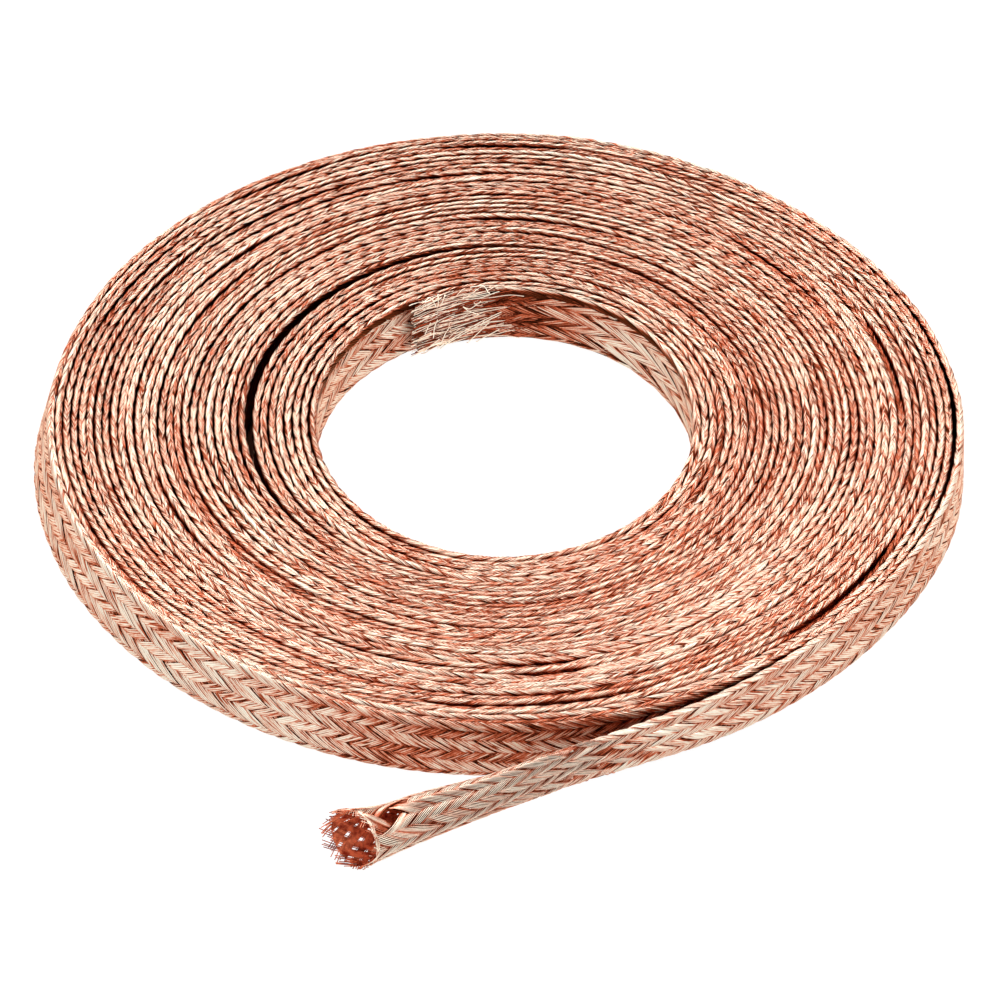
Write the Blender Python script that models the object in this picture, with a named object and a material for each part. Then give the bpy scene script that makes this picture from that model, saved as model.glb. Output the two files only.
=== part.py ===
"""Roll of flat copper busbar braid, wound on edge, with one free end opened into a tube.

The braid is one continuous woven tube of copper wire, pressed flat and wound into a spiral
of upright turns. Units are metres, +Z is up, and the roll stands on the plane Z = 0.
"""

import math

import bmesh
import bpy
from mathutils import Vector

# The pressed braid and its weave
BRAID_WIDTH = 0.0100
BRAID_THICKNESS = 0.00085
WEAVE_DEPTH = 0.00030
ROWS_ACROSS_FACE = 4

# The roll, seen from above. The gap between turns is wider at the sides and at the front left
WHOLE_TURNS = 33
HOLE_HALF_WIDTH = 0.0267
HOLE_HALF_DEPTH = 0.0292
TURN_GAP = 0.000178
SIDE_GAP = 0.000055
SIDE_SHARPNESS = 4
LOOSE_GAP = 0.000112
LOOSE_ANGLE = math.radians(-146)
INNER_END_ANGLE = math.radians(116)
STATIONS_PER_TURN = 28
ROWS_PER_STATION_INSIDE = 2
ROWS_PER_STATION_OUTSIDE = 3

# Where the winding is slack: a gap behind the inner bunch of turns, and one behind the last turn
INNER_SLACK = 0.0010
INNER_SLACK_ANGLE = math.radians(150)
INNER_SLACK_REACH = math.radians(105)
INNER_BUNCH_TURNS = 8
OUTER_SLACK = 0.0014
OUTER_SLACK_ANGLE = math.radians(-2)
OUTER_SLACK_REACH = math.radians(38)

# The outer turns lean: their lower edges stand further out than their upper edges
LEAN = 0.0024
LEAN_ANGLE = math.radians(162)

# The free end: it peels off the roll, runs nearly straight and opens into a tube
PEEL_ANGLE = math.radians(-44)
LEAVE_ANGLE = math.radians(-67)
PEEL_OFFSET = 0.00066
PEEL_CURVE = 1.5
TAIL_LENGTH = 0.0562
TAIL_BEND = math.radians(3.1)
TAIL_ROWS = 27
TAIL_COLUMNS = 24
OPENING_STARTS = 0.014
OPENING_ENDS = 0.041
HOLLOW_STARTS = 0.030
TUBE_WALL = 0.00045

# The cut mouth: flared, cut on a slant and frayed, with gaps between its strands
FLARE = 0.28
FLARE_LENGTH = 0.010
SLANT = 0.0020
FRAY = 0.0007
GAP_ROWS = 5
GAP_SHARE = 0.55

COPPER_COLOUR = (0.80, 0.42, 0.30, 1.0)
COPPER_ROUGHNESS = 0.35

FULL_TURN = 2 * math.pi
STATION_STEP = FULL_TURN / STATIONS_PER_TURN
TOTAL_WIND = WHOLE_TURNS * FULL_TURN + INNER_END_ANGLE - LEAVE_ANGLE
GIRTH = 2 * (BRAID_WIDTH - BRAID_THICKNESS) + math.pi * BRAID_THICKNESS
UP = Vector((0, 0, 1))


def ease(share):
    """Smooth step from 0 to 1."""
    share = min(max(share, 0.0), 1.0)
    return share * share * (3 - 2 * share)


def bump(angle, centre, reach):
    """1 at the centre angle, falling smoothly to 0 at the reach on either side."""
    away = abs((angle - centre + math.pi) % FULL_TURN - math.pi)
    return math.cos(0.5 * math.pi * away / reach) ** 2 if away < reach else 0.0


def oval(half_width, half_depth, angle):
    return half_width * half_depth / math.hypot(half_depth * math.cos(angle), half_width * math.sin(angle))


# The spiral. wind is the angle wound from the inner end, which grows as the angle falls

def angle_at(wind):
    return INNER_END_ANGLE - wind


def wind_opposite(centre, turns):
    """The wind at which the spiral passes opposite the centre angle, after this many turns."""
    first = (INNER_END_ANGLE - centre - math.pi) % FULL_TURN
    return first + turns * FULL_TURN


def middle_radius(wind):
    """Radius of the braid's mid-thickness at mid-height."""
    angle = angle_at(wind)
    gap = TURN_GAP + SIDE_GAP * math.cos(angle) ** SIDE_SHARPNESS
    gap += LOOSE_GAP * math.cos((angle - LOOSE_ANGLE) / 2) ** 2
    radius = oval(HOLE_HALF_WIDTH, HOLE_HALF_DEPTH, angle) + BRAID_THICKNESS / 2
    radius += (BRAID_THICKNESS + gap) * wind / FULL_TURN
    if wind > wind_opposite(INNER_SLACK_ANGLE, INNER_BUNCH_TURNS):
        radius += INNER_SLACK * bump(angle, INNER_SLACK_ANGLE, INNER_SLACK_REACH)
    if wind > TOTAL_WIND - FULL_TURN:
        radius += OUTER_SLACK * bump(angle, OUTER_SLACK_ANGLE, OUTER_SLACK_REACH)
    peeled = wind - (TOTAL_WIND - (PEEL_ANGLE - LEAVE_ANGLE))
    if peeled > 0:
        radius += PEEL_OFFSET * (peeled / (PEEL_ANGLE - LEAVE_ANGLE)) ** PEEL_CURVE
    return radius


def lean_at(wind):
    """How far the lower edge stands out past the upper edge."""
    toward = math.cos((angle_at(wind) - LEAN_ANGLE) / 2) ** 2
    return LEAN * toward * (wind / TOTAL_WIND) ** 2


def chord_radius(wind, offset):
    """Radius on the straight run between two stations, offset from the middle of the braid."""
    steps = angle_at(wind) / STATION_STEP
    low, high = math.floor(steps + 1e-9) * STATION_STEP, math.ceil(steps - 1e-9) * STATION_STEP
    if high - low < STATION_STEP / 2:
        return middle_radius(wind) + offset
    at_low = middle_radius(INNER_END_ANGLE - low) + offset
    at_high = middle_radius(INNER_END_ANGLE - high) + offset
    angle = angle_at(wind)
    spread = at_low * math.sin(angle - low) + at_high * math.sin(high - angle)
    return at_low * at_high * math.sin(high - low) / spread


# Sections. A ring of points runs from the lower inner corner outward, up, inward and down

def roll_section(bm, wind, woven, row):
    """One ring of the roll, with a woven relief on its inner or outer face, or none."""
    half = BRAID_THICKNESS / 2
    angle = angle_at(wind)
    outward = Vector((math.cos(angle), math.sin(angle), 0))
    lean = lean_at(wind)

    def point(radius, share):
        return bm.verts.new(outward * (radius + lean * (0.5 - share)) + UP * BRAID_WIDTH * share)

    def face(radius, side, shares, relief):
        made = []
        for column, share in enumerate(shares):
            sunk = WEAVE_DEPTH if relief and (row + column) % 2 else 0.0
            made.append(point(radius - side * sunk, share))
        return made

    full = [step / ROWS_ACROSS_FACE for step in range(ROWS_ACROSS_FACE + 1)]
    ends = [0.0, 1.0]
    inner = chord_radius(wind, -half)
    outer = middle_radius(wind) + half if woven == "outer" else chord_radius(wind, half)
    outer_face = face(outer, 1, full if woven == "outer" else ends, woven == "outer")
    inner_face = face(inner, -1, full if woven == "inner" else ends, woven == "inner")
    return inner_face[:1] + outer_face + inner_face[:0:-1]


def tail_frame(along):
    """Middle of the braid in plan and its outward direction, this far past the roll."""
    radius = middle_radius(TOTAL_WIND)
    slope = (radius - middle_radius(TOTAL_WIND - STATION_STEP / 8)) / (STATION_STEP / 8)
    outward = Vector((math.cos(LEAVE_ANGLE), math.sin(LEAVE_ANGLE), 0))
    forward = Vector((math.sin(LEAVE_ANGLE), -math.cos(LEAVE_ANGLE), 0)) * radius + outward * slope
    start = math.atan2(forward.y, forward.x)
    bend = -TAIL_BEND * along / TAIL_LENGTH
    chord = Vector((math.cos(start + bend / 2), math.sin(start + bend / 2), 0))
    heading = start + bend
    return outward * radius + chord * along, Vector((-math.sin(heading), math.cos(heading), 0))


def tail_section(along):
    """Radius of the rounded edges and half the flat between them, this far past the roll.

    The woven tube keeps its girth while it opens from the pressed strap to a round tube.
    """
    opening = ease((along - OPENING_STARTS) / (OPENING_ENDS - OPENING_STARTS))
    flare = 1 + FLARE * ease((along - TAIL_LENGTH + FLARE_LENGTH) / FLARE_LENGTH)
    pressed, tube = BRAID_THICKNESS / 2, GIRTH / FULL_TURN
    edge = pressed + (tube - pressed) * opening
    half_flat = GIRTH / 4 - math.pi / 2 * edge
    return edge * flare, half_flat * flare


def tail_point(along, column, sunk):
    """A point of the tail's surface, by its column up the outer face from the lower edge."""
    edge, half_flat = tail_section(along)
    side = 1 if column <= TAIL_COLUMNS / 2 else -1
    girth = FULL_TURN * edge + 4 * half_flat
    travelled = min(column, TAIL_COLUMNS - column) / TAIL_COLUMNS * girth
    below, above = math.pi / 2 * edge, math.pi / 2 * edge + 2 * half_flat
    if travelled < below:
        turned, height = travelled / edge - math.pi / 2, -half_flat
    elif travelled <= above:
        turned, height = 0.0, travelled - below - half_flat
    else:
        turned, height = (travelled - above) / edge, half_flat
    across = side * (edge - sunk) * math.cos(turned)
    height += (edge - sunk) * math.sin(turned) + edge + half_flat
    near_mouth = ease((along - TAIL_LENGTH + FLARE_LENGTH) / FLARE_LENGTH)
    middle, outward = tail_frame(along - SLANT * near_mouth * side * math.cos(turned))
    return middle + outward * across + UP * height


def tail_ring(bm, row, depth):
    """One ring of the tail. Every second point is sunk, staggered from row to row."""
    ring = []
    for column in range(TAIL_COLUMNS):
        low = (row + column) % 2
        along = TAIL_LENGTH * row / TAIL_ROWS
        if row == TAIL_ROWS:
            along += FRAY * (0.5 - low)
        sunk = depth + (WEAVE_DEPTH * low if depth == 0.0 else 0.0)
        ring.append(bm.verts.new(tail_point(along, column, sunk)))
    return ring


# Joining rings

def stitch(bm, first, second):
    """Faces between two rings that may differ in their number of points."""

    def shares(ring):
        lengths = [(ring[i].co - ring[i - 1].co).length for i in range(1, len(ring))]
        lengths.append((ring[0].co - ring[-1].co).length)
        total = sum(lengths)
        return [sum(lengths[: i + 1]) / total for i in range(len(lengths))]

    first_shares, second_shares = shares(first), shares(second)
    i = j = 0
    while i < len(first) or j < len(second):
        from_first = j == len(second) or (i < len(first) and first_shares[i] <= second_shares[j])
        a, b = first[i % len(first)], second[j % len(second)]
        if from_first:
            i += 1
            bm.faces.new((a, first[i % len(first)], b))
        else:
            j += 1
            bm.faces.new((a, second[j % len(second)], b))


def weave(bm, first, second, row, closed):
    """Faces between two equal rings, creased along the strands that cross from peak to peak."""
    for column in range(len(first) if closed else len(first) - 1):
        after = (column + 1) % len(first)
        a, b, c, d = first[column], first[after], second[after], second[column]
        if (row + column) % 2:
            bm.faces.new((a, b, d))
            bm.faces.new((b, c, d))
        else:
            bm.faces.new((a, b, c))
            bm.faces.new((a, c, d))


def join_sections(bm, first, second, woven, row):
    """Faces between two rings of the roll, with the relief creased on its woven face."""
    if len(first) != len(second) or woven is None:
        stitch(bm, first, second)
        return
    last = ROWS_ACROSS_FACE + 1
    if woven == "outer":
        strip, rest = slice(1, last + 1), [last, last + 1, 0, 1]
        weave(bm, first[strip], second[strip], row, closed=False)
    else:
        strip, rest = slice(3, None), [0, 1, 2, 3]
        weave(bm, first[strip] + first[:1], second[strip] + second[:1], row, closed=False)
    for a, b in zip(rest, rest[1:]):
        bm.faces.new((first[a], first[b], second[b], second[a]))


# The parts of the braid

def winds():
    """Where the rings of the roll lie, with the face that is woven there and a running row."""
    grid = math.floor(INNER_END_ANGLE / STATION_STEP)
    stations = [0.0]
    while INNER_END_ANGLE - grid * STATION_STEP < TOTAL_WIND - STATION_STEP / 4:
        stations.append(INNER_END_ANGLE - grid * STATION_STEP)
        grid -= 1
    stations.append(TOTAL_WIND)
    placed = []
    for start, end in zip(stations, stations[1:]):
        if end <= FULL_TURN + STATION_STEP:
            woven, rows = "inner", ROWS_PER_STATION_INSIDE
        elif start >= TOTAL_WIND - FULL_TURN - STATION_STEP:
            woven, rows = "outer", ROWS_PER_STATION_OUTSIDE
        else:
            woven, rows = None, 1
        placed += [(start + (end - start) * step / rows, woven) for step in range(rows)]
    placed.append((TOTAL_WIND, "outer"))
    return placed


def wind_roll(bm):
    """The turns of the roll, from the inner cut end to where the free end leaves."""
    before = None
    for row, (wind, woven) in enumerate(winds()):
        ring = roll_section(bm, wind, woven, row)
        if before is None:
            bm.faces.new(ring)
        else:
            join_sections(bm, before, ring, woven, row - 1)
        before = ring
    return before


def open_gaps(bm, outer_rings, inner_rings):
    """Lozenge gaps between the strands of the opened tube, through its wall."""
    for row in range(TAIL_ROWS - 1 - GAP_ROWS, TAIL_ROWS - 1):
        for column in range(TAIL_COLUMNS):
            if (row + column) % 2 == 0:
                continue
            mouths = []
            for rings in (outer_rings, inner_rings):
                centre = rings[row][column]
                around = [rings[row - 1][column], rings[row][(column + 1) % TAIL_COLUMNS],
                          rings[row + 1][column], rings[row][column - 1]]
                edge = [bm.verts.new(centre.co.lerp(corner.co, GAP_SHARE)) for corner in around]
                bm.verts.remove(centre)
                for a, b in zip(range(4), (1, 2, 3, 0)):
                    bm.faces.new((around[a], around[b], edge[b], edge[a]))
                mouths.append(edge)
            for a, b in zip(range(4), (1, 2, 3, 0)):
                bm.faces.new((mouths[0][a], mouths[0][b], mouths[1][b], mouths[1][a]))


def run_tail(bm, roll_end):
    """The free end, from the pressed strap to the hollow, frayed mouth."""
    rings = [tail_ring(bm, row, 0.0) for row in range(1, TAIL_ROWS + 1)]
    stitch(bm, roll_end, rings[0])
    for row, (first, second) in enumerate(zip(rings, rings[1:]), start=1):
        weave(bm, first, second, row, closed=True)
    outer_rings = dict(enumerate(rings, start=1))
    hollow_row = math.ceil(TAIL_ROWS * HOLLOW_STARTS / TAIL_LENGTH)
    inner_rings = {row: tail_ring(bm, row, TUBE_WALL) for row in range(hollow_row, TAIL_ROWS + 1)}
    bm.faces.new(inner_rings[hollow_row])
    for row in range(hollow_row, TAIL_ROWS):
        weave(bm, inner_rings[row], inner_rings[row + 1], row, closed=True)
    weave(bm, outer_rings[TAIL_ROWS], inner_rings[TAIL_ROWS], 0, closed=True)
    open_gaps(bm, outer_rings, inner_rings)


def copper():
    material = bpy.data.materials.new("copper_wire")
    material.use_nodes = True
    shader = material.node_tree.nodes["Principled BSDF"]
    shader.inputs["Base Color"].default_value = COPPER_COLOUR
    shader.inputs["Metallic"].default_value = 1.0
    shader.inputs["Roughness"].default_value = COPPER_ROUGHNESS
    return material


def stand_on_footprint_centre(bm):
    """Puts the origin under the middle of the whole braid, on the surface it stands on."""
    low = [min(vert.co[axis] for vert in bm.verts) for axis in range(3)]
    high = [max(vert.co[axis] for vert in bm.verts) for axis in range(3)]
    middle = Vector(((low[0] + high[0]) / 2, (low[1] + high[1]) / 2, low[2]))
    bmesh.ops.translate(bm, verts=bm.verts, vec=-middle)


def make_braid():
    bm = bmesh.new()
    roll_end = wind_roll(bm)
    run_tail(bm, roll_end)
    bmesh.ops.recalc_face_normals(bm, faces=bm.faces)
    stand_on_footprint_centre(bm)
    mesh = bpy.data.meshes.new("copper_braid")
    bm.to_mesh(mesh)
    bm.free()
    mesh.materials.append(copper())
    braid = bpy.data.objects.new("copper_braid", mesh)
    bpy.context.scene.collection.objects.link(braid)
    return braid


def main():
    for old in list(bpy.data.objects):
        bpy.data.objects.remove(old, do_unlink=True)
    make_braid()


main()
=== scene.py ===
import math
import bpy
import numpy as np
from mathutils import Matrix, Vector


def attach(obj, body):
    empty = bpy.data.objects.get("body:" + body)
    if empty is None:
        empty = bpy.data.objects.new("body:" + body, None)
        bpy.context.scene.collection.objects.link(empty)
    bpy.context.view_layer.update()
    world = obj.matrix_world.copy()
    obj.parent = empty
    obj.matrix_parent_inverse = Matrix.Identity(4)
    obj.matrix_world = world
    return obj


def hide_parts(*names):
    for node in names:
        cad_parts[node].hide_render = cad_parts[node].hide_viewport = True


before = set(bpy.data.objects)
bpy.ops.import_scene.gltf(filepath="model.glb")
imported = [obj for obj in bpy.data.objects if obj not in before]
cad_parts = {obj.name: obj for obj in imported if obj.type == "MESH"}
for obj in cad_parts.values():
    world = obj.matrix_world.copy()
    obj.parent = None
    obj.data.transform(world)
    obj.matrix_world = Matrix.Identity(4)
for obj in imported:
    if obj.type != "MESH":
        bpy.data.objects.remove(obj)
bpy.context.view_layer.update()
print("frame loaded")

# the roll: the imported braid's spiral, a little looser at the right; angles in degrees, lengths in metres
roll = {
    "centre": (0.0014126, 0.0117547),
    "width": 0.0100,
    "thickness": 0.00085,
    "turns": 33,
    "holeHalfWidth": 0.0267,
    "holeHalfDepth": 0.0292,
    "turnGap": 0.000178,
    "sideGap": 0.000055,
    "sideSharpness": 4,
    "rightGap": 0.000043,
    "looseGap": 0.000112,
    "looseAngle": -146,
    "innerEndAngle": 116,
    "innerSlack": 0.0010,
    "innerSlackAngle": 150,
    "innerSlackReach": 105,
    "innerBunchTurns": 8,
    "outerSlack": 0.0005,
    "outerSlackAngle": -2,
    "outerSlackReach": 38,
    "lean": 0.0024,
    "leanAngle": 162,
    "leanFades": 0.02,
    "peelAngle": -44,
    "leaveAngle": -67,
    "peelOffset": 0.00066,
    "peelCurve": 1.5,
    "unevenHeight": 0.00030,
    "unevenSide": 0.00007,
    "unevenEvery": 0.014,
    "sagDepth": 0.00040,
    "sagEvery": 0.030,
    "sagFrom": 0.3,
    "sagOver": 0.6,
    # the roll is even again where the free end leaves: from this far before, over this length
    "evenEnd": (0.01, 0.02),
    # the straps lie wider open round this angle and closed on the far side
    "openAngle": -40,
    "closedEdge": 0.30,
    "openEdge": 0.24,
    "backEdge": -0.34,
    # turns that sit lower: radius and angle of the middle, half length, depth
    "sunkenStretches": (
        (0.0621, -38, 0.017, 0.0009),
        (0.0568, 13, 0.014, 0.0009),
        (0.0533, -85, 0.009, 0.0007),
        (0.0553, -83, 0.007, 0.0005),
        (0.0625, -97, 0.006, 0.0005),
    ),
    "sunkFully": 0.0009,
    # the tail's shade on the wall behind it: starts before, ends after, fades over
    "tailShade": (0.012, 0.044, 0.018),
    "spareEnd": 0.020,
}

# the free end, from the strap to the open mouth
tail = {
    "length": 0.0562,
    "spareLength": 0.004,
    "narrowsOver": 0.02,
    "bend": 3.1,
    "openingStarts": 0.014,
    "openingEnds": 0.041,
    "flare": 0.28,
    "flareLength": 0.010,
    "slant": 0.0044,
    "slantShare": 0.18,
    "fray": 0.0011,
    "wiresPerStrand": 6,
    "wireRadius": 0.000068,
    "wireSpacing": 0.000238,
    # millimetres past the roll, share of the full width and height of the lower edge
    "form": (
        (-30, 1.00, 0.0), (-15, 0.90, 0.3), (0, 0.76, 0.7), (8, 0.76, 0.8), (21, 0.76, 1.5), (32, 0.78, 1.8),
        (38, 0.93, 1.8), (43, 1.03, 1.5), (48.5, 1.06, 0.8), (53.6, 1.06, 0.0), (60, 1.04, 0.0),
    ),
    # one opening between the strands: place past the roll, share of the girth, length, width
    "parting": (0.0482, 0.045, 0.0034, 0.00130),
    "looseLength": 0.005,
    "wiresShowFrom": 0.016,
    "wiresShowSpread": 0.006,
    "wiresShowPhase": 2.4,
    "blend": 0.003,
}

# the braid: twelve strands each way, two over and two under
braid = {
    "strandsEachWay": 12,
    "lay": 0.038,
    "gridStep": 0.0002,
    "stepsPerRadian": 180,
    "strandWidth": 0.00136,
    "layerHeight": 0.000110,
    "crown": 0.000130,
    "driftStep": 0.24,
    "driftMiddle": 1 / 24,
    "driftAmount": 0.060,
    # a finer drift on top: share of the first, and how many times as often
    "driftFine": (0.3, 5),
    "toneEvery": 0.05,
    # the lay varies a little, and the start of the braid is stretched
    "layVaries": 0.10,
    "layEvery": 0.05,
    "stretched": (0.010, 0.055, 0.80),
    "stretchEases": (0.012, 0.030),
    "sway": 0.04,
    "widthVaries": 0.10,
    "oneHandOver": 0.35,
    "crossingSlope": 2.0,
    # the ribbons sink below the single wires on the opened end
    "sinksBelow": 0.0003,
    # the strands bend along the strap as they go over its folds
    "foldSlide": 0.045,
    "foldReach": 0.030,
    "slideEnds": 0.008,
    "slideEndsBefore": 0.004,
    "slideLostWhereOpen": 0.30,
    "seed": 4,
}

def ease(share):
    share = np.clip(share, 0, 1)
    return share * share * (3 - 2 * share)


def bump(angle, centre, reach):
    away = np.abs((angle - centre + math.pi) % (2 * math.pi) - math.pi)
    return np.where(away < reach, np.cos(0.5 * math.pi * away / reach) ** 2, 0)


def smoothNoise(random, places, spacing):
    # a smooth random line through knots that lie this far apart, from -1 to 1
    knots = np.arange(places[0] - 2 * spacing, places[-1] + 3 * spacing, spacing)
    values = random.uniform(-1, 1, len(knots))
    step = np.clip((places - knots[0]) / spacing, 0, len(knots) - 2)
    low = step.astype(int)
    return values[low] + (values[low + 1] - values[low]) * ease(step - low)


def smoothedThrough(steps, places, values):
    # the values between their places, each averaged with its neighbours
    return np.convolve(np.pad(np.interp(steps, places, values), 2, "edge"), np.ones(5) / 5, "valid")


# the braid's centre line and section, tabled along its length

def layOutBraid():
    random = np.random.default_rng(braid["seed"])
    endAngle, leaveAngle = math.radians(roll["innerEndAngle"]), math.radians(roll["leaveAngle"])
    totalWind = roll["turns"] * 2 * math.pi + endAngle - leaveAngle
    wind = np.linspace(0, totalWind, int(totalWind * braid["stepsPerRadian"]))
    angle = endAngle - wind
    gap = roll["turnGap"] + roll["sideGap"] * np.cos(angle) ** roll["sideSharpness"]
    gap = gap + roll["rightGap"] * np.maximum(np.cos(angle), 0) ** roll["sideSharpness"]
    spread = np.cos((angle - math.radians(roll["openAngle"])) / 2) ** 2
    back = np.maximum(np.sin(angle), 0) ** 2
    gap = gap + roll["looseGap"] * np.cos((angle - math.radians(roll["looseAngle"])) / 2) ** 2
    wide, deep = roll["holeHalfWidth"], roll["holeHalfDepth"]
    radius = wide * deep / np.hypot(deep * np.cos(angle), wide * np.sin(angle)) + roll["thickness"] / 2
    radius = radius + (roll["thickness"] + gap) * wind / (2 * math.pi)
    slackAngle = math.radians(roll["innerSlackAngle"])
    opposite = (endAngle - slackAngle - math.pi) % (2 * math.pi) + roll["innerBunchTurns"] * 2 * math.pi
    slackReach = math.radians(roll["innerSlackReach"])
    radius += np.where(wind > opposite, roll["innerSlack"] * bump(angle, slackAngle, slackReach), 0)
    lastTurn = wind > totalWind - 2 * math.pi
    outerAngle, outerReach = math.radians(roll["outerSlackAngle"]), math.radians(roll["outerSlackReach"])
    radius += np.where(lastTurn, roll["outerSlack"] * bump(angle, outerAngle, outerReach), 0)
    peelWind = math.radians(roll["peelAngle"]) - leaveAngle
    peeled = np.clip((wind - totalWind + peelWind) / peelWind, 0, 1)
    radius += roll["peelOffset"] * peeled ** roll["peelCurve"]
    lean = roll["lean"] * np.cos((angle - math.radians(roll["leanAngle"])) / 2) ** 2 * (wind / totalWind) ** 2
    x, y = radius * np.cos(angle), radius * np.sin(angle)
    travelled = np.concatenate(([0], np.cumsum(np.hypot(np.diff(x), np.diff(y)))))

    rollLength = travelled[-1]
    along = np.arange(0, tail["length"] + tail["spareLength"], braid["gridStep"])[1:]
    heading = math.atan2(y[-1] - y[-2], x[-1] - x[-2])
    turned = -math.radians(tail["bend"]) * along / tail["length"]
    tailX = x[-1] + np.cos(heading + turned / 2) * along
    tailY = y[-1] + np.sin(heading + turned / 2) * along
    spare = np.arange(-roll["spareEnd"], 0, braid["gridStep"])
    startX, startY = (x[1] - x[0]) / travelled[1], (y[1] - y[0]) / travelled[1]
    length = np.concatenate((spare, travelled, rollLength + along))
    grid = np.arange(spare[0], length[-1], braid["gridStep"])
    lines = {}
    lines["x"] = np.interp(grid, length, np.concatenate((x[0] + startX * spare, x, tailX))) + roll["centre"][0]
    lines["y"] = np.interp(grid, length, np.concatenate((y[0] + startY * spare, y, tailY))) + roll["centre"][1]
    forwardX, forwardY = np.gradient(lines["x"]), np.gradient(lines["y"])
    size = np.hypot(forwardX, forwardY)
    lines["outX"], lines["outY"] = -forwardY / size, forwardX / size
    lines["lean"] = np.interp(grid, travelled, lean) * (1 - ease((grid - rollLength) / roll["leanFades"]))

    pitch = roll["thickness"] + np.interp(grid, travelled, gap)
    lines["spread"] = np.interp(grid, travelled, spread)
    lines["back"] = np.interp(grid, travelled, back)
    edgeShare = roll["closedEdge"] + roll["openEdge"] * lines["spread"] + roll["backEdge"] * lines["back"]
    strapEdge = roll["thickness"] / 2 + edgeShare * (pitch - roll["thickness"])
    girth = 2 * (roll["width"] - roll["thickness"]) + math.pi * roll["thickness"]
    past = grid - rollLength
    opening = ease((past - tail["openingStarts"]) / (tail["openingEnds"] - tail["openingStarts"]))
    flared = 1 + tail["flare"] * ease((past - tail["length"] + tail["flareLength"]) / tail["flareLength"])
    edge = strapEdge + (girth / (2 * math.pi) - strapEdge) * opening
    flat = np.where(past < 0, roll["width"] / 2 - edge, girth / 4 - math.pi / 2 * edge)
    flat = flat + (roll["width"] / 2 - edge - flat) * (1 - ease(past / tail["openingStarts"]))
    formPlace, formWidth, formLift = (np.array(each) for each in zip(*tail["form"]))
    steps = np.linspace(formPlace[0], formPlace[-1], 40)
    narrow = np.interp(past * 1000, steps, smoothedThrough(steps, formPlace, formWidth))
    lines["raise"] = np.interp(past * 1000, steps, smoothedThrough(steps, formPlace, formLift)) / 1000
    thin = 1 - (1 - narrow) * ease(past / tail["narrowsOver"])
    lines["edge"] = edge * flared * thin - braid["layerHeight"]
    lines["flat"] = np.maximum(flat * flared * narrow, 0)
    lines["girth"] = 2 * math.pi * lines["edge"] + 4 * lines["flat"]
    evenFrom, evenOver = roll["evenEnd"]
    quiet = 1 - ease((past + evenFrom) / evenOver)
    dip = roll["unevenHeight"] * (smoothNoise(random, grid, roll["unevenEvery"]) - 1) / 2 * quiet
    lines["shift"] = roll["unevenSide"] * smoothNoise(random, grid, roll["unevenEvery"] * 0.7) * quiet
    sag = ease((smoothNoise(random, grid, roll["sagEvery"]) - roll["sagFrom"]) / roll["sagOver"])
    sag = sag * roll["sagDepth"] * quiet
    for radiusThere, angleThere, halfLength, depth in roll["sunkenStretches"]:
        there = math.radians(angleThere)
        spotX = roll["centre"][0] + radiusThere * math.cos(there)
        spotY = roll["centre"][1] + radiusThere * math.sin(there)
        nearest = grid[np.argmin(np.hypot(lines["x"] - spotX, lines["y"] - spotY))]
        sag = np.maximum(sag, depth * ease((halfLength - np.abs(grid - nearest)) / (0.6 * halfLength)))
    lines["dip"] = dip - sag
    lines["sunk"] = np.clip((sag - dip) / roll["sunkFully"], 0, 1)
    lead = braid["slideEndsBefore"]
    lines["slide"] = 1 - braid["slideLostWhereOpen"] * lines["spread"]
    lines["slide"] = lines["slide"] * (1 - ease((past + lead) / (braid["slideEnds"] + lead)))
    lines["drift"] = braid["driftMiddle"] + braid["driftAmount"] * smoothNoise(random, grid, braid["driftStep"])
    fineShare, fineTimes = braid["driftFine"]
    fine = smoothNoise(random, grid, braid["driftStep"] / fineTimes)
    lines["drift"] = lines["drift"] + fineShare * braid["driftAmount"] * fine
    lines["tone"] = smoothNoise(random, grid, braid["toneEvery"])
    # the wall of the last turn but one lies in the shade of the strap that leaves it
    turnBack = rollLength - np.interp(totalWind - 2 * math.pi, wind, travelled)
    behind = grid - rollLength + turnBack
    before, after, fades = roll["tailShade"]
    lines["shade"] = ease((behind + before) / before) * (1 - ease((behind - after) / fades))
    starts, ends, more = braid["stretched"]
    easeIn, easeOut = braid["stretchEases"]
    stretch = more * ease((grid - starts) / easeIn) * (1 - ease((grid - ends) / easeOut))
    lines["lay"] = braid["lay"] * (1 + stretch + braid["layVaries"] * smoothNoise(random, grid, braid["layEvery"]))
    lines["twist"] = np.cumsum(np.gradient(grid) / lines["lay"])
    return grid, lines, rollLength


grid, lines, rollLength = layOutBraid()
print("braid laid out:", round(rollLength, 3), "m in the roll")


def onBraid(name, length):
    return np.interp(length, grid, lines[name])


def placeOnBraid(length, share, height):
    # length along the braid, share of its girth from the upper fold, outwards positive, and height off the wall
    edge, flat = onBraid("edge", length), onBraid("flat", length)
    girth = 2 * math.pi * edge + 4 * flat
    share = (share + 0.5) % 1 - 0.5
    side = np.where(share < 0, -1, 1)
    travelled = np.abs(share) * girth
    quarter = math.pi / 2 * edge
    fold = np.minimum(travelled, quarter) / edge
    lower = np.maximum(travelled - quarter - 2 * flat, 0) / edge
    straight = np.clip(travelled - quarter, 0, 2 * flat)
    across = (edge + height) * np.sin(fold) * np.cos(lower) * side
    up = flat - straight + (edge + height) * (np.cos(fold) - np.sin(lower))
    up = up + flat + edge + braid["layerHeight"] + onBraid("raise", length)
    up = up + onBraid("dip", length) * np.clip(up / roll["width"], 0, 1)
    out = across + onBraid("shift", length) + onBraid("lean", length) * (0.5 - up / roll["width"])
    x = onBraid("x", length) + onBraid("outX", length) * out
    y = onBraid("y", length) + onBraid("outY", length) * out
    return np.stack((x, y, np.maximum(up, 0)), axis=-1)


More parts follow.
